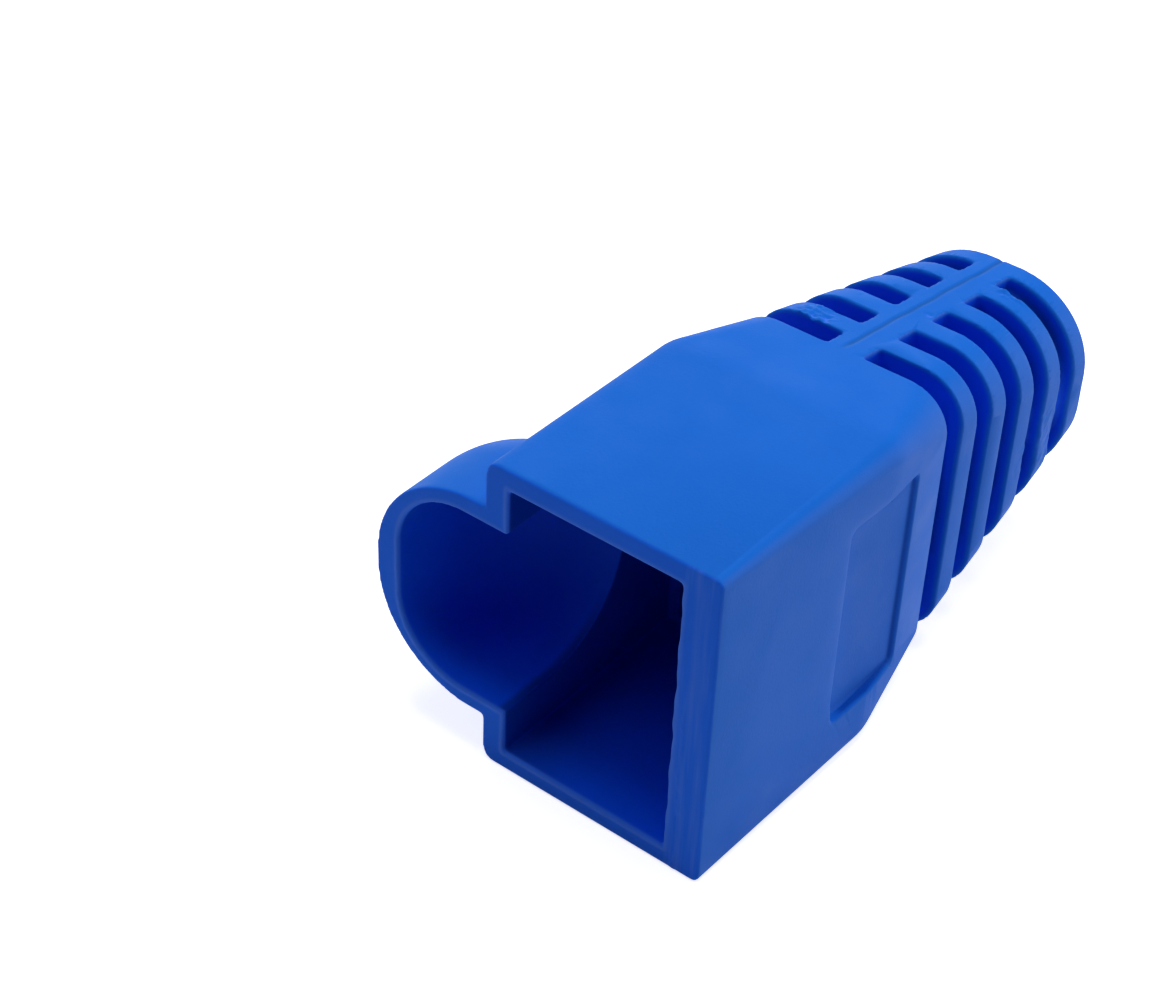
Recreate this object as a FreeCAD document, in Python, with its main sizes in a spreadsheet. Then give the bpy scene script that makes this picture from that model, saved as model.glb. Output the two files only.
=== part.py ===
import FreeCAD, Part
import math
import os
import Sketcher
from FreeCAD import Vector

# Strain relief boot for an eight way modular plug: one soft moulded piece.
# x runs along the cable from the mouth (x = 0) to the tail end.
# y is the thickness: the latch hood is on +y, the plain face on -y.
# z is the width: the boot lies on its lower narrow side.

os.makedirs("parts", exist_ok=True)
doc = FreeCAD.newDocument("StrainReliefBoot")

# ---------------------------------------------------------------- sizes
sheet = doc.addObject("Spreadsheet::Sheet", "Sizes")
SIZES = [
    # plug cavity
    ("plug_width", 11.7, "width of the modular plug the boot slides over"),
    ("plug_gap", 0.15, "clearance each side of the plug"),
    ("cavity_latch", 3.9, "y of the cavity wall on the latch side"),
    ("cavity_plain", 3.38, "y of the cavity wall on the plain side"),
    ("cavity_corner", 0.15, "corner radius of the plug cavity"),
    ("cavity_depth", 9.9, "depth of the straight plug cavity"),
    # body walls
    ("side_wall", 0.85, "wall on each narrow side"),
    ("latch_wall", 1.0, "wall on the latch side"),
    ("plain_wall", 1.57, "wall on the plain side at the mouth"),
    ("plain_flare", 0.35, "outward slope of the plain face, mouth to bend"),
    ("corner_latch_mouth", 0.55, "outer corner radius, latch side, mouth"),
    ("corner_plain_mouth", 0.35, "outer corner radius, plain side, mouth"),
    ("corner_latch_bend", 0.7, "outer corner radius, latch side, bend"),
    ("corner_plain_bend", 0.8, "outer corner radius, plain side, bend"),
    # tapered rear of the body
    ("taper_run", 4.35, "from the bend to the first groove"),
    ("rear_half_thick", 4.64, "y half thickness at the first groove"),
    ("corner_rear", 1.75, "outer corner radius at the first groove"),
    ("funnel_gap", 0.65, "from the end of the funnel to the first groove"),
    ("funnel_half", 2.2, "z half width of the funnel's end, inside the bore"),
    # cable bore and core tube
    ("cable_radius", 3.0, "radius of the round cable"),
    ("cable_gap", 0.13, "clearance around the cable"),
    ("core_wall_front", 0.45, "wall of the core tube at the first groove"),
    ("core_wall_rear", 0.82, "wall of the core tube at the tail end"),
    # latch hood
    ("hood_half_width", 4.82, "z half width outside"),
    ("hood_height", 5.06, "height of the crown over the latch side face"),
    ("hood_shoulder", 4.5, "shoulder radius outside"),
    ("hood_side_wall", 0.74, "wall at the hood's sides"),
    ("hood_crown_wall", 1.04, "wall at the hood's crown"),
    ("hood_shoulder_step", 1.5, "outside less inside shoulder radius"),
    ("hood_straight", 2.6, "straight run before the rounded end"),
    # sunken panels
    ("latch_panel_gap", 1.03, "from the hood's rounded end to the latch side panel"),
    ("latch_panel_length", 3.75, "length of the latch side panel"),
    ("latch_panel_half", 4.36, "z half width of the latch side panel"),
    ("latch_panel_corner", 0.5, "corner radius of the latch side panel"),
    ("latch_panel_depth", 0.28, "depth of the latch side panel at its front"),
    ("latch_panel_tilt", 1.9, "slope of the latch side panel floor, deg"),
    ("plain_panel_front", 7.5, "from the mouth to the plain side panel"),
    ("plain_panel_length", 4.4, "length of the plain side panel"),
    ("plain_panel_half", 4.45, "z half width of the plain side panel"),
    ("plain_panel_corner", 0.35, "corner radius of the plain side panel"),
    ("plain_panel_depth", 0.42, "depth of the plain side panel at its front"),
    # ribbed tail
    ("groove_width", 1.22, "width of each groove along the cable"),
    ("groove_pitch", 2.37, "pitch of the grooves"),
    ("groove_count", 5, "grooves on each wide face"),
    ("spine_half", 0.8, "half thickness of the side spines"),
    ("collar_length", 1.35, "end collar behind the last groove"),
    ("collar_wide", 0.3, "end collar past the core tube, z"),
    ("collar_thick", 0.25, "end collar past the core tube, y"),
    ("corner_tail", 3.6, "outer corner radius at the tail end"),
    ("tail_edge", 0.45, "rounding of the tail end edge"),
]
sheet.set("A1", "alias")
sheet.set("B1", "value")
sheet.set("C1", "meaning")
for row, (alias, number, meaning) in enumerate(SIZES, start=2):
    sheet.set("A%d" % row, alias)
    sheet.set("B%d" % row, str(number))
    sheet.setAlias("B%d" % row, alias)
    sheet.set("C%d" % row, meaning)
doc.recompute()


class Dim:
    """A size worked out from the sheet: its number now and its expression."""

    def __init__(self, number, text):
        self.number = number
        self.text = text

    def __add__(self, other):
        other = as_dim(other)
        return Dim(self.number + other.number, "(%s + %s)" % (self.text, other.text))

    def __sub__(self, other):
        other = as_dim(other)
        return Dim(self.number - other.number, "(%s - %s)" % (self.text, other.text))

    def __mul__(self, other):
        other = as_dim(other)
        return Dim(self.number * other.number, "(%s * %s)" % (self.text, other.text))

    def __truediv__(self, other):
        other = as_dim(other)
        return Dim(self.number / other.number, "(%s / %s)" % (self.text, other.text))


def as_dim(item):
    if isinstance(item, Dim):
        return item
    return Dim(float(item), repr(item))


def cell(alias):
    return Dim(float(getattr(sheet, alias)), "Sizes." + alias)


def lesser(p, q):
    return Dim(min(p.number, q.number), "min(%s; %s)" % (p.text, q.text))


# Sizes that follow from the sheet
cavity_half = cell("plug_width") / 2 + cell("plug_gap")
body_half = cavity_half + cell("side_wall")
latch_face = cell("cavity_latch") + cell("latch_wall")
plain_mouth = cell("cavity_plain") + cell("plain_wall")
plain_bend = plain_mouth + cell("plain_flare")
bend_x = cell("cavity_depth")
rear_x = bend_x + cell("taper_run")
total_length = (rear_x + cell("groove_pitch") * (cell("groove_count") - 1)
                + cell("groove_width") + cell("collar_length"))
bore_radius = cell("cable_radius") + cell("cable_gap")
core_front = bore_radius + cell("core_wall_front")
core_rear = bore_radius + cell("core_wall_rear")
tail_half_width = core_rear + cell("collar_wide")
tail_half_thick = core_rear + cell("collar_thick")
corner_tail = lesser(cell("corner_tail"), tail_half_thick - 0.05)
rear_half = body_half - (body_half - tail_half_width) * cell("taper_run") / (total_length - bend_x)
funnel_end = rear_x - cell("funnel_gap")
funnel_half = lesser(cell("funnel_half"), bore_radius - 0.9)
hood_top = latch_face + cell("hood_height")
hood_base = latch_face - cell("latch_wall") / 2
hood_half = cell("hood_half_width")
hood_shoulder = lesser(cell("hood_shoulder"), hood_half - 0.05)
hood_inner_half = hood_half - cell("hood_side_wall")
hood_inner_top = hood_top - cell("hood_crown_wall")
hood_inner_base = cell("cavity_latch") / 2
hood_inner_shoulder = hood_shoulder - cell("hood_shoulder_step")


body = doc.addObject("PartDesign::Body", "Boot")
body.Label = "boot"


def plane(role):
    for feature in body.Origin.OriginFeatures:
        if feature.Role == role:
            return feature
    raise RuntimeError("no origin plane " + role)


def new_sketch(name, role, offset=None, place=None):
    """A sketch on an origin plane; offset is a Dim along its normal."""
    sketch = body.newObject("Sketcher::SketchObject", name)
    sketch.AttachmentSupport = [(plane(role), "")]
    sketch.MapMode = "FlatFace"
    if place is not None:
        sketch.AttachmentOffset = place
    if offset is not None:
        sketch.setExpression("AttachmentOffset.Base.z", offset.text)
    doc.recompute()
    return sketch


def bind(sketch, index, name, dim):
    sketch.renameConstraint(index, name)
    sketch.setExpression("Constraints." + name, dim.text)


def arc(centre, radius, start, end):
    circle = Part.Circle(Vector(centre[0], centre[1], 0), Vector(0, 0, 1), radius)
    return Part.ArcOfCircle(circle, math.radians(start), math.radians(end))


def line(p, q):
    return Part.LineSegment(Vector(p[0], p[1], 0), Vector(q[0], q[1], 0))


def rounded_box(sketch, low, high, half, r_low, r_high):
    """Rounded rectangle, u from -low to +high and v to +-half.

    The numbers place the sketch; the expressions then drive it.
    """
    a, b, c, r, q = low.number, high.number, half.number, r_low.number, r_high.number
    sketch.addGeometry(line((-a + r, -c), (b - q, -c)), False)
    sketch.addGeometry(arc((b - q, -c + q), q, 270, 360), False)
    sketch.addGeometry(line((b, -c + q), (b, c - q)), False)
    sketch.addGeometry(arc((b - q, c - q), q, 0, 90), False)
    sketch.addGeometry(line((b - q, c), (-a + r, c)), False)
    sketch.addGeometry(arc((-a + r, c - r), r, 90, 180), False)
    sketch.addGeometry(line((-a, c - r), (-a, -c + r)), False)
    sketch.addGeometry(arc((-a + r, -c + r), r, 180, 270), False)
    con = Sketcher.Constraint
    sketch.addConstraint(con("Tangent", 0, 2, 1, 1))
    sketch.addConstraint(con("Tangent", 1, 2, 2, 1))
    sketch.addConstraint(con("Tangent", 2, 2, 3, 1))
    sketch.addConstraint(con("Tangent", 3, 2, 4, 1))
    sketch.addConstraint(con("Tangent", 4, 2, 5, 1))
    sketch.addConstraint(con("Tangent", 5, 2, 6, 1))
    sketch.addConstraint(con("Tangent", 6, 2, 7, 1))
    sketch.addConstraint(con("Tangent", 7, 2, 0, 1))
    sketch.addConstraint(con("Horizontal", 0))
    sketch.addConstraint(con("Vertical", 2))
    sketch.addConstraint(con("Vertical", 6))
    sketch.addConstraint(con("Equal", 1, 3))
    sketch.addConstraint(con("Equal", 5, 7))
    k = sketch.addConstraint(con("Radius", 3, q))
    bind(sketch, k, "r_high", r_high)
    k = sketch.addConstraint(con("Radius", 5, r))
    bind(sketch, k, "r_low", r_low)
    k = sketch.addConstraint(con("DistanceX", 6, 1, -1, 1, a))
    bind(sketch, k, "low", low)
    k = sketch.addConstraint(con("DistanceX", -1, 1, 2, 1, b))
    bind(sketch, k, "high", high)
    k = sketch.addConstraint(con("DistanceY", -1, 1, 4, 1, c))
    bind(sketch, k, "half_top", half)
    k = sketch.addConstraint(con("DistanceY", 0, 1, -1, 1, c))
    bind(sketch, k, "half_bottom", half)


def arch(sketch, base, top, half, shoulder):
    """Full arch: flat base at u = base, crown at u = top, rounded shoulders."""
    a, b, c, r = base.number, top.number, half.number, shoulder.number
    sketch.addGeometry(line((a, -c), (b - r, -c)), False)
    sketch.addGeometry(arc((b - r, -c + r), r, 270, 360), False)
    sketch.addGeometry(line((b, -c + r), (b, c - r)), False)
    sketch.addGeometry(arc((b - r, c - r), r, 0, 90), False)
    sketch.addGeometry(line((b - r, c), (a, c)), False)
    sketch.addGeometry(line((a, c), (a, -c)), False)
    con = Sketcher.Constraint
    sketch.addConstraint(con("Tangent", 0, 2, 1, 1))
    sketch.addConstraint(con("Tangent", 1, 2, 2, 1))
    sketch.addConstraint(con("Tangent", 2, 2, 3, 1))
    sketch.addConstraint(con("Tangent", 3, 2, 4, 1))
    sketch.addConstraint(con("Coincident", 4, 2, 5, 1))
    sketch.addConstraint(con("Coincident", 5, 2, 0, 1))
    sketch.addConstraint(con("Horizontal", 0))
    sketch.addConstraint(con("Vertical", 2))
    sketch.addConstraint(con("Vertical", 5))
    sketch.addConstraint(con("Equal", 1, 3))
    k = sketch.addConstraint(con("Radius", 3, r))
    bind(sketch, k, "shoulder", shoulder)
    k = sketch.addConstraint(con("DistanceX", -1, 1, 5, 1, a))
    bind(sketch, k, "base", base)
    k = sketch.addConstraint(con("DistanceX", -1, 1, 2, 1, b))
    bind(sketch, k, "crown", top)
    k = sketch.addConstraint(con("DistanceY", -1, 1, 4, 1, c))
    bind(sketch, k, "half_top", half)
    k = sketch.addConstraint(con("DistanceY", 0, 1, -1, 1, c))
    bind(sketch, k, "half_bottom", half)


def half_arch(sketch, base, top, half, shoulder):
    """The arch's upper half, closed along the sketch's own u axis."""
    a, b, c, r = base.number, top.number, half.number, shoulder.number
    sketch.addGeometry(line((a, 0), (b, 0)), False)
    sketch.addGeometry(line((b, 0), (b, c - r)), False)
    sketch.addGeometry(arc((b - r, c - r), r, 0, 90), False)
    sketch.addGeometry(line((b - r, c), (a, c)), False)
    sketch.addGeometry(line((a, c), (a, 0)), False)
    con = Sketcher.Constraint
    sketch.addConstraint(con("Coincident", 0, 2, 1, 1))
    sketch.addConstraint(con("Tangent", 1, 2, 2, 1))
    sketch.addConstraint(con("Tangent", 2, 2, 3, 1))
    sketch.addConstraint(con("Coincident", 3, 2, 4, 1))
    sketch.addConstraint(con("Coincident", 4, 2, 0, 1))
    sketch.addConstraint(con("PointOnObject", 0, 1, -1))
    sketch.addConstraint(con("PointOnObject", 0, 2, -1))
    sketch.addConstraint(con("Vertical", 1))
    sketch.addConstraint(con("Vertical", 4))
    k = sketch.addConstraint(con("Radius", 2, r))
    bind(sketch, k, "shoulder", shoulder)
    k = sketch.addConstraint(con("DistanceX", -1, 1, 0, 1, a))
    bind(sketch, k, "base", base)
    k = sketch.addConstraint(con("DistanceX", -1, 1, 0, 2, b))
    bind(sketch, k, "crown", top)
    k = sketch.addConstraint(con("DistanceY", -1, 1, 3, 1, c))
    bind(sketch, k, "half", half)


def volume():
    doc.recompute()
    return body.Shape.Volume


# ---------------------------------------------------------------- envelope
# Four rounded rectangles: mouth, bend, rear of the body and tail end.
# The narrow sides run in one straight line from the bend to the tail end.
s_mouth = new_sketch("MouthSection", "YZ_Plane")
rounded_box(s_mouth, plain_mouth, latch_face, body_half,
            cell("corner_plain_mouth"), cell("corner_latch_mouth"))

s_bend = new_sketch("BendSection", "YZ_Plane", bend_x)
rounded_box(s_bend, plain_bend, latch_face, body_half,
            cell("corner_plain_bend"), cell("corner_latch_bend"))

s_rear = new_sketch("RearSection", "YZ_Plane", rear_x)
rounded_box(s_rear, cell("rear_half_thick"), cell("rear_half_thick"), rear_half,
            cell("corner_rear"), cell("corner_rear"))

s_tail = new_sketch("TailSection", "YZ_Plane", total_length)
rounded_box(s_tail, tail_half_thick, tail_half_thick, tail_half_width, corner_tail, corner_tail)
doc.recompute()

envelope = body.newObject("PartDesign::AdditiveLoft", "Envelope")
envelope.Profile = s_mouth
envelope.Sections = [s_bend, s_rear, s_tail]
envelope.Ruled = True
envelope.Closed = False
volume_envelope = volume()

# ---------------------------------------------------------------- tail grooves
# Each wide face has a row of grooves. They stop at the side spines and at
# the core tube, which shows as a rounded floor in the middle of each groove.
s_groove = new_sketch("GrooveSection", "YZ_Plane", rear_x)
reach_dim = body_half + 2
reach = reach_dim.number
core = core_front.number
spine = cell("spine_half").number
lift = math.sqrt(core * core - spine * spine)
turn = math.degrees(math.atan2(lift, spine))
con = Sketcher.Constraint
for side in (1, -1):
    n = 0 if side == 1 else 6
    s_groove.addGeometry(line((side * spine, -reach), (side * spine, -lift)), False)
    if side == 1:
        s_groove.addGeometry(arc((0, 0), core, -turn, turn), False)
        first, last = 1, 2
    else:
        s_groove.addGeometry(arc((0, 0), core, 180 - turn, 180 + turn), False)
        first, last = 2, 1
    s_groove.addGeometry(line((side * spine, lift), (side * spine, reach)), False)
    s_groove.addGeometry(line((side * spine, reach), (side * reach, reach)), False)
    s_groove.addGeometry(line((side * reach, reach), (side * reach, -reach)), False)
    s_groove.addGeometry(line((side * reach, -reach), (side * spine, -reach)), False)
    s_groove.addConstraint(con("Coincident", n, 2, n + 1, first))
    s_groove.addConstraint(con("Coincident", n + 1, last, n + 2, 1))
    s_groove.addConstraint(con("Coincident", n + 2, 2, n + 3, 1))
    s_groove.addConstraint(con("Coincident", n + 3, 2, n + 4, 1))
    s_groove.addConstraint(con("Coincident", n + 4, 2, n + 5, 1))
    s_groove.addConstraint(con("Coincident", n + 5, 2, n, 1))
    s_groove.addConstraint(con("Coincident", n + 1, 3, -1, 1))
    s_groove.addConstraint(con("Vertical", n))
    s_groove.addConstraint(con("Vertical", n + 2))
    s_groove.addConstraint(con("Horizontal", n + 3))
    s_groove.addConstraint(con("Vertical", n + 4))
    s_groove.addConstraint(con("Horizontal", n + 5))
    tag = "right" if side == 1 else "left"
    k = s_groove.addConstraint(con("Radius", n + 1, core))
    bind(s_groove, k, "core_" + tag, core_front)
    if side == 1:
        k = s_groove.addConstraint(con("DistanceX", -1, 1, n, 1, spine))
        bind(s_groove, k, "spine_" + tag, cell("spine_half"))
        k = s_groove.addConstraint(con("DistanceX", -1, 1, n + 4, 1, reach))
        bind(s_groove, k, "reach_" + tag, reach_dim)
    else:
        k = s_groove.addConstraint(con("DistanceX", n, 1, -1, 1, spine))
        bind(s_groove, k, "spine_" + tag, cell("spine_half"))
        k = s_groove.addConstraint(con("DistanceX", n + 4, 1, -1, 1, reach))
        bind(s_groove, k, "reach_" + tag, reach_dim)
    k = s_groove.addConstraint(con("DistanceY", -1, 1, n + 3, 1, reach))
    bind(s_groove, k, "top_" + tag, reach_dim)
    k = s_groove.addConstraint(con("DistanceY", n, 1, -1, 1, reach))
    bind(s_groove, k, "bottom_" + tag, reach_dim)
doc.recompute()

groove = body.newObject("PartDesign::Pocket", "FirstGroove")
groove.Profile = s_groove
groove.Type = "Length"
groove.setExpression("Length", cell("groove_width").text)
groove.Reversed = True
volume_groove = volume()
if volume_groove > volume_envelope - 10:
    raise RuntimeError("the first groove cuts nothing")

grooves = body.newObject("PartDesign::LinearPattern", "Grooves")
grooves.Originals = [groove]
grooves.Direction = (plane("X_Axis"), [""])
grooves.Mode = "Spacing"
grooves.setExpression("Offset", cell("groove_pitch").text)
grooves.setExpression("Occurrences", cell("groove_count").text)
body.Tip = grooves
volume_grooves = volume()
if volume_grooves > volume_groove - 30:
    raise RuntimeError("the groove row is incomplete")

# ---------------------------------------------------------------- core tube
# A slow cone around the cable, a little larger towards the tail.
s_core = new_sketch("CoreProfile", "XY_Plane")
core_x0 = rear_x - 0.2
core_x1 = total_length - cell("collar_length") / 2
x0 = core_x0.number
x1 = core_x1.number
c0 = core_front.number
c1 = core_rear.number
s_core.addGeometry(line((x0, 0), (x1, 0)), False)
s_core.addGeometry(line((x1, 0), (x1, c1)), False)
s_core.addGeometry(line((x1, c1), (x0, c0)), False)
s_core.addGeometry(line((x0, c0), (x0, 0)), False)
s_core.addConstraint(con("Coincident", 0, 2, 1, 1))
s_core.addConstraint(con("Coincident", 1, 2, 2, 1))
s_core.addConstraint(con("Coincident", 2, 2, 3, 1))
s_core.addConstraint(con("Coincident", 3, 2, 0, 1))
s_core.addConstraint(con("PointOnObject", 0, 1, -1))
s_core.addConstraint(con("Horizontal", 0))
s_core.addConstraint(con("Vertical", 1))
s_core.addConstraint(con("Vertical", 3))
k = s_core.addConstraint(con("DistanceX", -1, 1, 0, 1, x0))
bind(s_core, k, "front_x", core_x0)
k = s_core.addConstraint(con("DistanceX", -1, 1, 0, 2, x1))
bind(s_core, k, "rear_x", core_x1)
k = s_core.addConstraint(con("DistanceY", -1, 1, 3, 1, c0))
bind(s_core, k, "front_r", core_front)
k = s_core.addConstraint(con("DistanceY", -1, 1, 2, 1, c1))
bind(s_core, k, "rear_r", core_rear)
doc.recompute()
core_tube = body.newObject("PartDesign::Revolution", "CoreTube")
core_tube.Profile = s_core
core_tube.ReferenceAxis = (s_core, ["H_Axis"])
core_tube.Angle = 360
body.Tip = core_tube
volume_core = volume()

# ---------------------------------------------------------------- latch hood
# An arch over the latch, straight at first and closed by a rounded end.
s_hood = new_sketch("HoodArch", "YZ_Plane")
arch(s_hood, hood_base, hood_top, hood_half, hood_shoulder)
hood = body.newObject("PartDesign::Pad", "HoodRun")
hood.Profile = s_hood
hood.Type = "Length"
hood.setExpression("Length", cell("hood_straight").text)
volume_hood = volume()
if volume_hood < volume_core + 40:
    raise RuntimeError("the hood adds nothing")

s_hood_end = new_sketch("HoodEndProfile", "YZ_Plane", cell("hood_straight"))
half_arch(s_hood_end, hood_base, hood_top, hood_half, hood_shoulder)
hood_end = body.newObject("PartDesign::Revolution", "HoodEnd")
hood_end.Profile = s_hood_end
hood_end.ReferenceAxis = (s_hood_end, ["H_Axis"])
hood_end.Angle = 180
hood_end.Reversed = False
volume_hood_end = volume()
if body.Shape.BoundBox.XMin < -0.01 or volume_hood_end < volume_hood + 40:
    raise RuntimeError("the hood end turns the wrong way")

# ---------------------------------------------------------------- plug cavity
s_cavity = new_sketch("CavitySection", "YZ_Plane")
rounded_box(s_cavity, cell("cavity_plain"), cell("cavity_latch"), cavity_half,
            cell("cavity_corner"), cell("cavity_corner"))
cavity = body.newObject("PartDesign::Pocket", "PlugCavity")
cavity.Profile = s_cavity
cavity.Type = "Length"
cavity.setExpression("Length", cell("cavity_depth").text)
cavity.Reversed = True
volume_cavity = volume()
if volume_cavity > volume_hood_end - 500:
    raise RuntimeError("the plug cavity cuts nothing")

# Behind the plug the cavity narrows in its width down to the bore.
s_funnel = new_sketch("FunnelPlan", "XZ_Plane")
fx0 = (bend_x - 0.01).number
fx1 = funnel_end.number
fz0 = cavity_half.number
fz1 = funnel_half.number
s_funnel.addGeometry(line((fx0, -fz0), (fx1, -fz1)), False)
s_funnel.addGeometry(line((fx1, -fz1), (fx1, fz1)), False)
s_funnel.addGeometry(line((fx1, fz1), (fx0, fz0)), False)
s_funnel.addGeometry(line((fx0, fz0), (fx0, -fz0)), False)
for n in range(4):
    s_funnel.addConstraint(con("Coincident", n, 2, (n + 1) % 4, 1))
s_funnel.addConstraint(con("Vertical", 1))
s_funnel.addConstraint(con("Vertical", 3))
k = s_funnel.addConstraint(con("DistanceX", -1, 1, 0, 1, fx0))
bind(s_funnel, k, "front_x", bend_x - 0.01)
k = s_funnel.addConstraint(con("DistanceX", -1, 1, 0, 2, fx1))
bind(s_funnel, k, "rear_x", funnel_end)
k = s_funnel.addConstraint(con("DistanceY", 0, 1, -1, 1, fz0))
bind(s_funnel, k, "front_low", cavity_half)
k = s_funnel.addConstraint(con("DistanceY", -1, 1, 2, 2, fz0))
bind(s_funnel, k, "front_high", cavity_half)
k = s_funnel.addConstraint(con("DistanceY", 0, 2, -1, 1, fz1))
bind(s_funnel, k, "rear_low", funnel_half)
k = s_funnel.addConstraint(con("DistanceY", -1, 1, 1, 2, fz1))
bind(s_funnel, k, "rear_high", funnel_half)
funnel = body.newObject("PartDesign::Pocket", "Funnel")
funnel.Profile = s_funnel
funnel.Type = "Length"
funnel.SideType = "Symmetric"
funnel.setExpression("Length", (cell("cavity_plain") * 2).text)
volume_funnel = volume()
if volume_funnel > volume_cavity - 50:
    raise RuntimeError("the funnel cuts nothing")

# Cable bore, from the open cavity through the funnel and the tail end.
s_bore = new_sketch("BoreSection", "YZ_Plane", bend_x)
s_bore.addGeometry(Part.Circle(Vector(0, 0, 0), Vector(0, 0, 1), bore_radius.number), False)
s_bore.addConstraint(con("Coincident", 0, 3, -1, 1))
k = s_bore.addConstraint(con("Radius", 0, bore_radius.number))
bind(s_bore, k, "bore", bore_radius)
bore = body.newObject("PartDesign::Pocket", "CableBore")
bore.Profile = s_bore
bore.Type = "Length"
bore.setExpression("Length", total_length.text)
bore.Reversed = True
volume_bore = volume()
if volume_bore > volume_funnel - 100:
    raise RuntimeError("the cable bore cuts nothing")

# Room for the latch inside the hood, open to the cavity and to the mouth.
s_inner = new_sketch("HoodRoom", "YZ_Plane")
arch(s_inner, hood_inner_base, hood_inner_top, hood_inner_half, hood_inner_shoulder)
inner = body.newObject("PartDesign::Pocket", "HoodRoomRun")
inner.Profile = s_inner
inner.Type = "Length"
inner.setExpression("Length", cell("hood_straight").text)
inner.Reversed = True
volume_inner = volume()
if volume_inner > volume_bore - 40:
    raise RuntimeError("the hood room cuts nothing")
s_inner_end = new_sketch("HoodRoomEnd", "YZ_Plane", cell("hood_straight"))
half_arch(s_inner_end, hood_inner_base, hood_inner_top, hood_inner_half, hood_inner_shoulder)
inner_end = body.newObject("PartDesign::Groove", "HoodRoomRound")
inner_end.Profile = s_inner_end
inner_end.ReferenceAxis = (s_inner_end, ["H_Axis"])
inner_end.Angle = 180
inner_end.Reversed = False
volume_inner_end = volume()
if volume_inner_end > volume_inner - 40:
    raise RuntimeError("the rounded hood room cuts nothing")

# ---------------------------------------------------------------- sunken panels
# One shallow panel in each wide face, just behind the hood.


def panel(name, front, rear, half, corner, offset, place=None):
    """The outline of a sunken panel, from front to rear along the cable."""
    sketch = new_sketch(name, "XZ_Plane", offset, place)
    a, b, c, r = front.number, rear.number, half.number, corner.number
    sketch.addGeometry(line((a + r, -c), (b - r, -c)), False)
    sketch.addGeometry(arc((b - r, -c + r), r, 270, 360), False)
    sketch.addGeometry(line((b, -c + r), (b, c - r)), False)
    sketch.addGeometry(arc((b - r, c - r), r, 0, 90), False)
    sketch.addGeometry(line((b - r, c), (a + r, c)), False)
    sketch.addGeometry(arc((a + r, c - r), r, 90, 180), False)
    sketch.addGeometry(line((a, c - r), (a, -c + r)), False)
    sketch.addGeometry(arc((a + r, -c + r), r, 180, 270), False)
    for n in range(8):
        sketch.addConstraint(con("Tangent", n, 2, (n + 1) % 8, 1))
    sketch.addConstraint(con("Horizontal", 0))
    sketch.addConstraint(con("Vertical", 2))
    sketch.addConstraint(con("Vertical", 6))
    sketch.addConstraint(con("Equal", 1, 3))
    sketch.addConstraint(con("Equal", 3, 5))
    sketch.addConstraint(con("Equal", 5, 7))
    k = sketch.addConstraint(con("Radius", 3, r))
    bind(sketch, k, "corner", corner)
    k = sketch.addConstraint(con("DistanceX", -1, 1, 6, 1, a))
    bind(sketch, k, "front_x", front)
    k = sketch.addConstraint(con("DistanceX", -1, 1, 2, 1, b))
    bind(sketch, k, "rear_x", rear)
    k = sketch.addConstraint(con("DistanceY", -1, 1, 4, 1, c))
    bind(sketch, k, "half_top", half)
    k = sketch.addConstraint(con("DistanceY", 0, 1, -1, 1, c))
    bind(sketch, k, "half_bottom", half)
    return sketch


# The latch side floor slopes a little more gently than the face behind the bend.
latch_panel_front = cell("hood_straight") + hood_half + cell("latch_panel_gap")
tilt = cell("latch_panel_tilt")
slope = Dim(math.tan(math.radians(tilt.number)), "tan(%s * 1 deg)" % tilt.text)
floor_shift = latch_panel_front * slope - latch_face + cell("latch_panel_depth")
sloped = FreeCAD.Placement(Vector(0, 0, floor_shift.number),
                           FreeCAD.Rotation(Vector(0, 1, 0), tilt.number))
s_panel_latch = panel("LatchPanel", latch_panel_front, latch_panel_front + cell("latch_panel_length"),
                      cell("latch_panel_half"), cell("latch_panel_corner"), None, sloped)
s_panel_latch.setExpression("AttachmentOffset.Base.z", floor_shift.text)
s_panel_latch.setExpression("AttachmentOffset.Rotation.Angle", tilt.text + " * 1 deg")
latch_pocket = body.newObject("PartDesign::Pocket", "LatchSidePanel")
latch_pocket.Profile = s_panel_latch
latch_pocket.Type = "Length"
latch_pocket.Length = 1.5
latch_pocket.Reversed = False
volume_panel = volume()
if volume_panel > volume_inner_end - 2:
    raise RuntimeError("the latch side panel cuts nothing")

# The plain side floor lies along the cable, so it runs deepest under the bend.
plain_panel_front = cell("plain_panel_front")
plain_at_panel = plain_mouth + cell("plain_flare") * plain_panel_front / bend_x
s_panel_plain = panel("PlainPanel", plain_panel_front, plain_panel_front + cell("plain_panel_length"),
                      cell("plain_panel_half"), cell("plain_panel_corner"),
                      plain_at_panel - cell("plain_panel_depth"))
plain_pocket = body.newObject("PartDesign::Pocket", "PlainSidePanel")
plain_pocket.Profile = s_panel_plain
plain_pocket.Type = "Length"
plain_pocket.Length = 1.5
plain_pocket.Reversed = True
volume_panel_b = volume()
if volume_panel_b > volume_panel - 2:
    raise RuntimeError("the plain side panel cuts nothing")

# ---------------------------------------------------------------- rounded tail
# The outer edge of the tail end is rounded all the way round.
rim = []
end_x = total_length.number
for number, edge in enumerate(body.Shape.Edges, start=1):
    box = edge.BoundBox
    if abs(box.XMin - end_x) > 0.001 or abs(box.XMax - end_x) > 0.001:
        continue
    far = max(math.hypot(v.Point.y, v.Point.z) for v in edge.Vertexes)
    if far > bore_radius.number + 0.2:
        rim.append("Edge%d" % number)
rounding = body.newObject("PartDesign::Fillet", "TailRounding")
rounding.Base = (plain_pocket, rim)
rounding.setExpression("Radius", cell("tail_edge").text)
body.Tip = rounding
doc.recompute()

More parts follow.
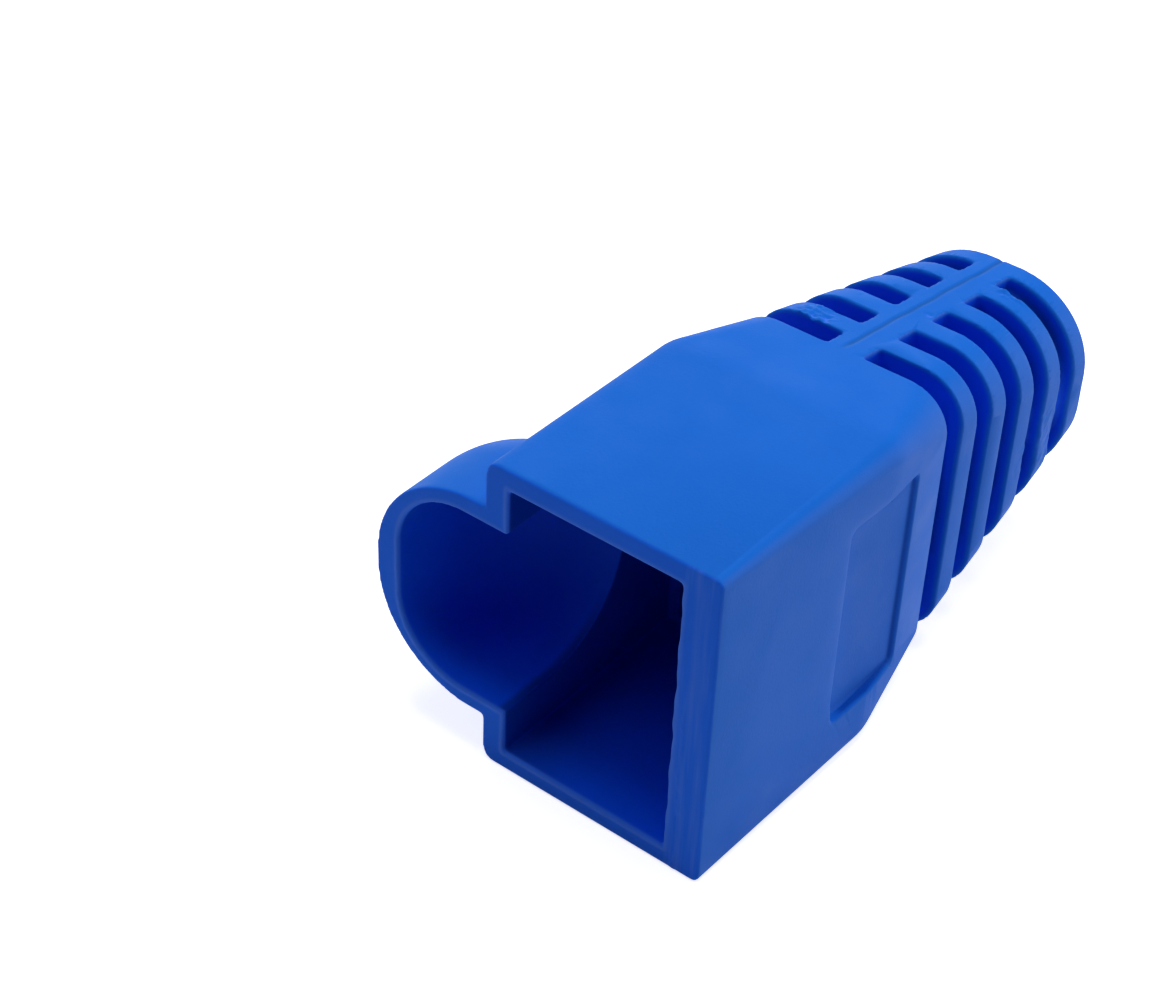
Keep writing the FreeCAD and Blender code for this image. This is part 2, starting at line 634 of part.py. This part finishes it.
# ---------------------------------------------------------------- checks
for item in doc.Objects:
    if "Invalid" in item.State or "Error" in item.State:
        raise RuntimeError("failed feature: " + item.Name + " " + str(item.State))
    if item.TypeId == "Sketcher::SketchObject" and item.solve() != 0:
        raise RuntimeError("sketch not solved: " + item.Name)
shape = body.Shape
if shape.isNull() or not shape.isValid() or len(shape.Solids) != 1:
    raise RuntimeError("boot is not one valid solid")
box = shape.BoundBox
print("boot", round(shape.Volume, 2), "mm3", len(shape.Faces), "faces")
print("box", [round(v, 3) for v in (box.XMin, box.XMax, box.YMin, box.YMax, box.ZMin, box.ZMax)])
shape.exportStep("parts/boot.step")
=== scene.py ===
import bpy
import math
import numpy as np
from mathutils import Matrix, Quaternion, Vector, noise


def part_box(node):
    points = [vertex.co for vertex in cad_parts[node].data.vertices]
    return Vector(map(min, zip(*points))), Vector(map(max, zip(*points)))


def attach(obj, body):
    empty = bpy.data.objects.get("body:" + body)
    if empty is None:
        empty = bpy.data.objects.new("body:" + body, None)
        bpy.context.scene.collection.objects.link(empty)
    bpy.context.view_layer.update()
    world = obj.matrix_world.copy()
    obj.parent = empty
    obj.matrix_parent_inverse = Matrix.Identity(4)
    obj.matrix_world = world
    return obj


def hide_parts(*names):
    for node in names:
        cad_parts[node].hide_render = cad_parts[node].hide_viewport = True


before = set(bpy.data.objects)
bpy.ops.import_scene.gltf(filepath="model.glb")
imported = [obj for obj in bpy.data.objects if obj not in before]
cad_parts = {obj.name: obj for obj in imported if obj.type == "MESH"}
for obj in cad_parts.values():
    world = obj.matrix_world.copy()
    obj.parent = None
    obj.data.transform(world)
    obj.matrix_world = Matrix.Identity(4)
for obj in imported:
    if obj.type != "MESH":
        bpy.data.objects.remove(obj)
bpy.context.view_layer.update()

# ------------------------------------------------------------------ the boot
# A strain relief boot for a network plug: one soft moulding of flexible PVC.
# It comes from a two part mould that closes on the plane y = 0, and it slides
# over the cable and then over the rear half of the plug.
MM = 0.001
boot_low, boot_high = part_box("boot")
bpy.ops.object.select_all(action="DESELECT")
cad_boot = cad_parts["boot"]
boot = cad_boot.copy()
boot.data = cad_boot.data.copy()
boot.name = "moulded_boot"
boot.parent = None
bpy.context.scene.collection.objects.link(boot)
bpy.context.view_layer.objects.active = boot
boot.select_set(True)
bpy.ops.object.mode_set(mode="EDIT")
bpy.ops.mesh.select_all(action="SELECT")
bpy.ops.mesh.remove_doubles(threshold=0.002 * MM)
bpy.ops.object.mode_set(mode="OBJECT")

# The mould leaves every edge a little round: a fine even skin is laid over
# the form and relaxed, which rounds the edges and leaves the faces flat.
skin = boot.modifiers.new("skin", "REMESH")
skin.mode = "VOXEL"
skin.voxel_size = 0.07 * MM
skin.adaptivity = 0.0
bpy.ops.object.modifier_apply(modifier="skin")
relax = boot.modifiers.new("relax", "SMOOTH")
relax.factor = 0.5
relax.iterations = 12
bpy.ops.object.modifier_apply(modifier="relax")

# The outside of the body runs straight to the bend and then tapers to the tail.
# Each station holds x, the plain and latch side faces, the half width across
# and the corner radius on either side, in millimetres like all sizes here.
bend_x = 9.9
tail_end = 26.3
stations = np.array([
    [0.0, 4.95, 4.90, 6.85, 0.35, 0.55],
    [bend_x, 5.30, 4.90, 6.85, 0.80, 0.70],
    [14.25, 4.64, 4.64, 6.16, 1.75, 1.75],
    [tail_end, 4.20, 4.20, 4.25, 3.60, 3.60],
])
# The hood is an arch on the latch side face, straight to hood_run and then turned.
# Its room inside is an arch too, and joins the plug cavity.
hood_run, hood_half, hood_top, hood_shoulder = 2.6, 4.82, 9.96, 4.5
room_half, room_top, room_shoulder = 4.08, 8.92, 3.0
cavity_half, cavity_latch, cavity_plain = 6.0, 3.9, 3.38
# Each sunk panel: its front and rear ends along x, and its half width.
plain_panel = (7.5, 11.9, 4.45)
latch_panel = (8.45, 12.2, 4.36)
panel_corner = 0.35


def ease(value, start, end):
    """0 to 1, gently, as a value goes from start to end."""
    step = np.clip((value - start) / (end - start), 0.0, 1.0)
    return step * step * (3.0 - 2.0 * step)


def hump(offset, width):
    """1 on a line, fading to nothing within about twice the width of it."""
    return np.exp(-(offset / width) ** 2)


def corner_depth(across, up, radius):
    """Depth below a rounded corner, from the depths below its two faces."""
    inset = np.hypot(np.maximum(radius - across, 0.0), np.maximum(radius - up, 0.0))
    in_corner = (across < radius) & (up < radius)
    return np.where(in_corner, radius - inset, np.minimum(across, up))


def body_depth(x, y, z):
    """Depth below the outside of the body and tail, without grooves or panels."""
    plain, latch, half, plain_radius, latch_radius = [
        np.interp(x, stations[:, 0], stations[:, n]) for n in range(1, 6)]
    across = half - np.abs(z)
    return np.where(y < 0, corner_depth(across, y + plain, plain_radius),
                    corner_depth(across, latch - y, latch_radius))


def hood_depth(x, y, z):
    """Depth below the outside of the latch hood, and -1 lower than its foot."""
    foot_y = 3.5
    out = np.where(x > hood_run, np.hypot(x - hood_run, z), np.abs(z))
    arch = corner_depth(hood_half - out, hood_top - y, hood_shoulder)
    return np.where(y > foot_y, arch, -1.0)


def mouth_gap(y, z):
    """Distance from the edge of the opening, for a point in the wall round it."""
    beside = np.maximum(np.abs(z) - cavity_half, 0.0)
    plug = np.hypot(beside, np.maximum(np.maximum(y - cavity_latch, -cavity_plain - y), 0.0))
    latch = corner_depth(room_half - np.abs(z), room_top - y, room_shoulder)
    latch = np.maximum(-latch, 0.0)
    return np.minimum(plug, np.where(y > 3.0, latch, plug))


def panel_gap(x, z, panel):
    """Distance inside the outline of a sunk panel, and negative outside it."""
    start, end, half = panel
    return np.minimum(np.minimum(x - start, end - x), half - np.abs(z))


def wander(along, pitch):
    """A value between about -1 and 1 that wanders along a line."""
    turn = 2.0 * math.pi / pitch
    return 0.6 * np.sin(turn * along + 0.7) + 0.4 * np.sin(turn * 2.37 * along + 2.1)


def seam_y(x):
    """The height of the mould line on the narrow sides, which wanders a little."""
    return 0.13 + 0.025 * wander(x, 4.3)


def scuff(centre, reach, grain, x, y, z):
    """A rough spot: uneven heights of about 1 at its centre, fading at its reach."""
    far = np.sqrt((x - centre[0]) ** 2 + (y - centre[1]) ** 2 + (z - centre[2]) ** 2)
    height = np.zeros_like(x)
    for n in np.nonzero(far < reach)[0]:
        height[n] = noise.fractal(Vector((x[n], y[n], z[n])) / grain, 1.0, 2.0, 3)
    return height * (1.0 - ease(far, 0.4 * reach, reach))


points = np.empty(len(boot.data.vertices) * 3)
boot.data.vertices.foreach_get("co", points)
x, y, z = (points.reshape(-1, 3) / MM).T.copy()

# The hood's rim moves with the skin behind it: the skin's distance from the true
# arch is read by angle over a short run behind the rim, and the rim takes it up.
# A point no further off than the first of skin_reach is on the skin, and one
# further than the second isn't.
skin_reach = (0.015, 0.04)
rim_end, hood_foot = 0.6, 5.3
off = hood_depth(x, y, z)
on_hood = y > hood_foot
angle = np.arctan2(y - hood_top + hood_shoulder, np.abs(z) - hood_half + hood_shoulder)
behind = (x > rim_end) & (x < rim_end + 1.0) & on_hood & (np.abs(off) < 0.03)
behind = np.nonzero(behind)[0]
behind = behind[np.argsort(angle[behind])]
shift = np.interp(angle, angle[behind], off[behind]) * (x < rim_end) * on_hood * (off < 0.5)
shift *= ease(np.abs(off) + np.clip(0.3 - x, 0.0, 0.1), *skin_reach)
y += shift * np.sin(angle)
z += shift * np.cos(angle) * np.sign(z)

# The curved skin is drawn onto its true curve, so no facets are left in its outline.
nudge = 0.01
curves = (
    (body_depth, (y < 3.0) | (x > 12.0)),
    (hood_depth, ease(y, 5.0, 6.0) * ease(x, 0.2, 0.3)),
)
for depth, kept in curves:
    off = depth(x, y, z)
    slope = np.array([(depth(x + a, y + b, z + c) - off) / nudge
                      for a, b, c in nudge * np.eye(3)])
    steep = np.maximum((slope ** 2).sum(axis=0), 0.5)
    off *= kept * (1.0 - ease(np.abs(off), *skin_reach)) / steep
    x, y, z = x - off * slope[0], y - off * slope[1], z - off * slope[2]
below = body_depth(x, y, z)
outside = 1.0 - ease(below, 0.4, 0.7)

# The bend is soft: within half a millimetre of the line where the faces change
# slope, the skin sinks by the change in slope times a rounded dip.
bend_reach = 0.5
dip = np.clip(bend_reach - np.abs(x - bend_x), 0.0, None) ** 2 / (4.0 * bend_reach)
dip *= 1.0 - ease(below, 0.1, 0.25)
side_change, plain_change, latch_change = 0.1585, 0.187, 0.06
z -= np.sign(z) * side_change * dip * ease(np.abs(z), 3.0, 5.0)
y += plain_change * dip * ease(-y, 2.5, 3.8)
y -= latch_change * dip * ease(y, 2.5, 3.8)

# The front and upper edges of the sunk panel on the plain face are worn round.
panel_front, panel_rear, panel_half = plain_panel
beyond = np.hypot(np.clip(panel_front + panel_corner - x, 0.0, None),
                  np.clip(z - (panel_half - panel_corner), 0.0, None)) - panel_corner
rolled = (beyond > 0.0) * (y < -4.5) * (1.0 - ease(below, 0.04, 0.2))
rolled *= ease(z, -4.3, -3.4) * ease(panel_rear - x, 0.0, 2.0)
roll_depth, roll_reach = 0.12, 0.45
y += roll_depth * np.exp(-beyond / roll_reach) * rolled

# The two halves of the mould leave a fine line along both narrow sides of the
# tail: a groove with a low swelling on either side.
swelling, groove = 0.01, 0.06
ridge = swelling * hump(y - seam_y(x), 0.24) - groove * hump(y - seam_y(x), 0.09)
z += np.sign(z) * ridge * ease(x, 14.0, 15.0) * outside * ease(np.abs(z), 2.5, 3.2)

# Flash and scuffs: rough spots on the first and fourth rib, torn edges low on
# the last ribs, and one small pit beside the spine.
z += 0.10 * scuff((15.9, 2.3, 5.9), 1.1, 0.30, x, y, z)
z += 0.10 * scuff((24.0, -1.5, 4.6), 1.1, 0.30, x, y, z)
y -= 0.12 * scuff((22.6, -4.3, -0.6), 2.0, 0.80, x, y, z)
pit_depth, pit_radius = 0.06, 0.16
pit_far = (x - 19.34) ** 2 + (y + 0.56) ** 2 + (z - 5.35) ** 2
z -= pit_depth * np.exp(-pit_far / pit_radius ** 2)

# The mouth's edge is trimmed: a thin bead runs round the opening, and the
# plain wall's edge wanders and carries a torn line of flash.
bead_height, flash_height, edge_swing = 0.035, 0.045, 0.035
front = 1.0 - ease(x, 0.10, 0.30)
bead = (1.0 + 0.5 * wander(z, 3.1)) * hump(mouth_gap(y, z) - 0.10, 0.08)
x -= bead_height * bead * front
torn = ease(2.0 - z, 0.0, 2.0) * hump(y + 3.86 - 0.06 * wander(z, 2.6), 0.09)
x -= flash_height * (0.7 + 0.6 * wander(z, 1.3)) * torn * front
edge = (1.0 - ease(x, 0.5, 1.6)) * hump(y + cavity_plain, 0.35)
edge *= ease(5.9 - np.abs(z), 0.0, 0.8)
y += edge_swing * wander(z, 2.6) * edge

most_triangles = 190000
boot.data.vertices.foreach_set("co", np.column_stack((x, y, z)).ravel() * MM)
thin = boot.modifiers.new("thin", "DECIMATE")
thin.ratio = min(1.0, most_triangles / (2 * len(boot.data.polygons)))
bpy.ops.object.modifier_apply(modifier="thin")
bpy.ops.object.shade_smooth()

# Marks for the colour: a painted highlight on the edges of the ribs, painted
# shade on the skin in the cavity, under the hood and in the grooves, deepest on
# the grooves' floors, in the creases round both sunk panels and on the plain side
# panel's floor, the mould line, painted light on the front face and a painted
# highlight along the bead round the mouth's edge.
points = np.empty(len(boot.data.vertices) * 3)
boot.data.vertices.foreach_get("co", points)
x, y, z = (points.reshape(-1, 3) / MM).T
below = np.maximum(body_depth(x, y, z), hood_depth(x, y, z))
hollow = np.where(x < 13.0, ease(below, 0.51, 0.60), ease(below, 0.06, 0.28))
rib_skin = (x > 13.9) & (x < 26.1)
fade_up = 0.5 + 0.5 * ease(np.maximum(4.5 - z, x - 20.0), 0.0, 4.0)
plain_gap = panel_gap(x, z, plain_panel)
latch_gap = panel_gap(x, z, latch_panel)
in_panel = ease(below, 0.06, 0.2) * (y < -4.2)
plain_crease = hump(plain_gap - 0.05, 0.13) * in_panel
plain_crease *= ease(x, 7.9, 8.6) * ease(4.3 - z, 0.0, 0.3)
latch_crease = hump(latch_gap - 0.03, 0.10) * ease(below, 0.03, 0.08)
latch_crease *= 0.7 * (y > 3.5) * (below < 0.4)
marks = {
    "rib_edge_highlight": ease(below, 0.02, 0.045) * (1.0 - ease(below, 0.10, 0.20)) * rib_skin,
    "hollow_shade": hollow * ease(x, 0.03, 0.12) * ease(tail_end - x, 0.1, 0.5),
    "groove_shade": ease(below, 0.15, 0.8) * rib_skin * fade_up,
    "crease_shade": plain_crease + latch_crease,
    "panel_floor_shade": ease(plain_gap, -0.05, 0.25) * in_panel,
    "seamed": hump(y - seam_y(x), 0.09) * (below < 0.12) * ease(x, 14.0, 15.0),
    "front_face": 1.0 - ease(x, 0.03, 0.12),
    "bead_highlight": hump(mouth_gap(y, z) - 0.10, 0.10) * (1.0 - ease(x, 0.08, 0.20)),
}
for name, values in marks.items():
    mark = boot.data.attributes.new(name, "FLOAT", "POINT")
    mark.data.foreach_set("value", values.astype(np.float32))

# Blue flexible PVC: satin and a little mottled outside, and painted a deeper
# blue inside as painted shade.
boot_plastic = bpy.data.materials.new("blue_flexible_pvc")
boot_plastic.use_nodes = True
nodes = boot_plastic.node_tree.nodes
links = boot_plastic.node_tree.links
surface = nodes["Principled BSDF"]
surface.inputs["IOR"].default_value = 1.5
surface.inputs["Specular IOR Level"].default_value = 0.06
place = nodes.new("ShaderNodeTexCoord")


def mottle(scale, detail, low, high):
    """Cloudy noise, from low to high, at so many clouds a metre."""
    cloud = nodes.new("ShaderNodeTexNoise")
    cloud.inputs["Scale"].default_value = scale
    cloud.inputs["Detail"].default_value = detail
    links.new(place.outputs["Object"], cloud.inputs["Vector"])
    spread = nodes.new("ShaderNodeMapRange")
    spread.inputs["From Min"].default_value = 0.3
    spread.inputs["From Max"].default_value = 0.7
    spread.inputs["To Min"].default_value = low
    spread.inputs["To Max"].default_value = high
    links.new(cloud.outputs["Fac"], spread.inputs["Value"])
    return spread.outputs[0]


shade = nodes.new("ShaderNodeMix")
shade.data_type = "RGBA"
shade.inputs["A"].default_value = (0.008, 0.167, 0.79, 1.0)
shade.inputs["B"].default_value = (0.010, 0.177, 0.82, 1.0)
links.new(mottle(260.0, 3.0, 0.0, 1.0), shade.inputs["Factor"])
colour = shade.outputs["Result"]


def tint(base, factor, tone):
    """Blend a colour so far towards a tone."""
    blend = nodes.new("ShaderNodeMix")
    blend.data_type = "RGBA"
    blend.inputs["B"].default_value = tone
    links.new(factor, blend.inputs["Factor"])
    links.new(base, blend.inputs["A"])
    return blend.outputs["Result"]


def marked(name):
    """One of the marks on the skin."""
    mark = nodes.new("ShaderNodeAttribute")
    mark.attribute_name = name
    return mark.outputs["Fac"]

def along(source, axis, start, end):
    """0 to 1 as one coordinate of a vector goes from start to end."""
    parts = nodes.new("ShaderNodeSeparateXYZ")
    links.new(place.outputs[source], parts.inputs[0])
    span = nodes.new("ShaderNodeMapRange")
    span.interpolation_type = "SMOOTHSTEP"
    span.inputs["From Min"].default_value = start
    span.inputs["From Max"].default_value = end
    links.new(parts.outputs[axis], span.inputs["Value"])
    return span.outputs[0]


def both(first, second):
    """The product of two factors."""
    product = nodes.new("ShaderNodeMath")
    product.operation = "MULTIPLY"
    links.new(first, product.inputs[0])
    links.new(second, product.inputs[1])
    return product.outputs[0]


# The skin that faces the plain side is painted paler as a painted sheen, and the
# ribs' edges that turn towards the tail carry a painted highlight. The hollows get
# painted shade, a deeper blue, most of all on the grooves' floors.
painted_sheen = along("Normal", "Y", -0.35, -0.9)
colour = tint(colour, painted_sheen, (0.036, 0.190, 0.82, 1.0))
highlit_edges = both(marked("rib_edge_highlight"), along("Normal", "X", -0.1, 0.2))
colour = tint(colour, highlit_edges, (0.050, 0.200, 0.95, 1.0))
colour = tint(colour, marked("hollow_shade"), (0.001, 0.098, 1.00, 1.0))
colour = tint(colour, marked("groove_shade"), (0.001, 0.045, 0.36, 1.0))
# Painted shade: the hollows are darker where they face down, and the cavity towards its deep end.
down = both(marked("hollow_shade"), along("Normal", "Z", 0.1, -0.9))
colour = tint(colour, down, (0.001, 0.060, 0.55, 1.0))
deep = both(along("Object", "X", 1.5 * MM, 8.5 * MM), along("Object", "X", 14.0 * MM, 13.5 * MM))
colour = tint(colour, both(marked("hollow_shade"), deep), (0.001, 0.060, 0.60, 1.0))
# Hardly any light reaches the inner face of the latch side wall beside the hood,
# and little falls on the floor of the cavity close to it.
latch_wall = both(along("Normal", "Y", -0.5, -0.95), along("Object", "Y", 4.6 * MM, 4.1 * MM))
foot = both(along("Normal", "Z", 0.5, 0.95), along("Object", "Y", 0.0, 4.5 * MM))
foot = both(foot, along("Object", "Y", 4.4 * MM, 4.0 * MM))
for dim_place in (latch_wall, foot):
    held = both(dim_place, along("Object", "X", 13.0 * MM, 12.0 * MM))
    colour = tint(colour, both(marked("hollow_shade"), held), (0.001, 0.045, 0.45, 1.0))
# Painted shade: the plain side panel's floor is a little darker towards its rear and lower edges.
floor_shade_falloff = both(along("Object", "X", 7.4 * MM, 9.5 * MM), along("Object", "Z", 4.5 * MM, 1.5 * MM))
colour = tint(colour, both(marked("panel_floor_shade"), floor_shade_falloff), (0.028, 0.165, 0.75, 1.0))
# Painted shade in the creases round both sunk panels.
colour = tint(colour, marked("crease_shade"), (0.001, 0.070, 0.50, 1.0))
colour = tint(colour, marked("seamed"), (0.004, 0.120, 0.50, 1.0))
# Painted light: the front face round the mouth is a brighter blue.
colour = tint(colour, marked("front_face"), (0.014, 0.160, 1.00, 1.0))
# Fine streaks run along the plain wall's front, where the mould's halves rubbed.
spread = nodes.new("ShaderNodeMapping")
spread.inputs["Scale"].default_value = (0.0, 1.0, 0.06)
links.new(place.outputs["Object"], spread.inputs["Vector"])
streak = nodes.new("ShaderNodeTexNoise")
streak.inputs["Scale"].default_value = 2600.0
streak.inputs["Detail"].default_value = 2.0
links.new(spread.outputs[0], streak.inputs["Vector"])
pale = nodes.new("ShaderNodeMapRange")
pale.inputs["From Min"].default_value = 0.45
pale.inputs["From Max"].default_value = 0.70
links.new(streak.outputs["Fac"], pale.inputs["Value"])
plain_front = both(marked("front_face"), along("Object", "Y", -3.3 * MM, -3.5 * MM))
colour = tint(colour, both(plain_front, pale.outputs[0]), (0.050, 0.200, 1.00, 1.0))
# A painted highlight runs along the bead round the mouth's edge.
colour = tint(colour, marked("bead_highlight"), (0.060, 0.210, 1.00, 1.0))
links.new(colour, surface.inputs["Base Color"])
links.new(mottle(700.0, 4.0, 0.50, 0.62), surface.inputs["Roughness"])
grain = nodes.new("ShaderNodeBump")
grain.inputs["Strength"].default_value = 0.35
grain.inputs["Distance"].default_value = 0.01 * MM
links.new(mottle(9000.0, 4.0, 0.0, 1.0), grain.inputs["Height"])
links.new(grain.outputs["Normal"], surface.inputs["Normal"])
boot.data.materials.clear()
boot.data.materials.append(boot_plastic)
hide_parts("boot")
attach(boot, "root")

# ------------------------------------------------------------------ the floor
# A plain white table under the boot, which keeps a faint shadow.
bpy.ops.object.select_all(action="DESELECT")
bpy.ops.mesh.primitive_plane_add(size=2.0, location=(0.0, 0.0, boot_low.z))
floor = bpy.context.object
floor.name = "floor"
bpy.ops.object.transform_apply(location=True, rotation=True, scale=True)


def seen_rays(nodes, links):
    """1 for rays from the camera and for mirrored or transmitted ones, else 0."""
    path = nodes.new("ShaderNodeLightPath")
    seen = path.outputs["Is Camera Ray"]
    for kind in ("Is Glossy Ray", "Is Transmission Ray"):
        either = nodes.new("ShaderNodeMath")
        either.operation = "MAXIMUM"
        links.new(seen, either.inputs[0])
        links.new(path.outputs[kind], either.inputs[1])
        seen = either.outputs[0]
    return seen


white_table = bpy.data.materials.new("white_table")
white_table.use_nodes = True
nodes = white_table.node_tree.nodes
links = white_table.node_tree.links
nodes["Principled BSDF"].inputs["Base Color"].default_value = (0.9, 0.9, 0.9, 1.0)
nodes["Principled BSDF"].inputs["Roughness"].default_value = 0.9
nodes["Principled BSDF"].inputs["Specular IOR Level"].default_value = 0.0
glow = nodes.new("ShaderNodeEmission")
glow.inputs["Color"].default_value = (1.0, 1.0, 1.0, 1.0)
lift = nodes.new("ShaderNodeMath")
lift.operation = "MULTIPLY"
lift.inputs[1].default_value = 0.75
links.new(seen_rays(nodes, links), lift.inputs[0])
links.new(lift.outputs[0], glow.inputs["Strength"])
lifted = nodes.new("ShaderNodeAddShader")
links.new(nodes["Principled BSDF"].outputs[0], lifted.inputs[0])
links.new(glow.outputs[0], lifted.inputs[1])
links.new(lifted.outputs[0], nodes["Material Output"].inputs["Surface"])
floor.data.materials.append(white_table)

# ------------------------------------------------------------------ the room
# White all round, with a broad soft lamp overhead and weaker ones low behind
# the tail, to its right and its left.
room = bpy.data.worlds.new("white_room")
bpy.context.scene.world = room
room.use_nodes = True
nodes = room.node_tree.nodes
links = room.node_tree.links
walls = nodes["Background"]
walls.inputs["Color"].default_value = (1.0, 1.0, 1.0, 1.0)
level = nodes.new("ShaderNodeMapRange")
level.inputs["To Min"].default_value = 0.01
level.inputs["To Max"].default_value = 1.0
links.new(seen_rays(nodes, links), level.inputs["Value"])
links.new(level.outputs[0], walls.inputs["Strength"])


def softbox(name, place, power):
    """A broad round lamp that points at the middle of the boot."""
    bpy.ops.object.light_add(type="AREA", location=place)
    lamp = bpy.context.object
    lamp.name = name
    lamp.data.shape = "DISK"
    lamp.data.size = 0.2
    lamp.data.energy = power
    aim = (boot_low + boot_high) / 2 - Vector(place)
    lamp.rotation_mode = "QUATERNION"
    lamp.rotation_quaternion = aim.to_track_quat("-Z", "Y")
    return lamp


softbox("overhead_lamp", (0.035, 0.0, 0.30), 0.53)
softbox("right_lamp", (0.205, -0.19, 0.127), 0.24)
softbox("back_lamp", (0.212, 0.201, 0.103), 0.19)
softbox("left_lamp", (-0.123, 0.138, 0.23), 0.085)

# ------------------------------------------------------------------ the camera
# Above and in front of the mouth, on the plain face's side, a little rolled.
bpy.ops.object.camera_add()
camera = bpy.context.object
camera.name = "camera"
camera.location = Vector((-50.31, -37.38, 56.72)) * MM
turn = math.radians(-52.73)
rise = math.radians(38.08)
roll = math.radians(2.44)
back = Vector((math.sin(turn) * math.cos(rise), -math.cos(turn) * math.cos(rise), math.sin(rise)))
camera.rotation_mode = "QUATERNION"
camera.rotation_quaternion = back.to_track_quat("Z", "Y") @ Quaternion((0, 0, 1), roll)
camera.data.sensor_fit = "HORIZONTAL"
camera.data.sensor_width = 36.0
camera.data.lens = 76.73
camera.data.clip_start = 0.001
camera.data.clip_end = 10.0
bpy.context.scene.camera = camera
bpy.context.scene.view_settings.view_transform = "Standard"
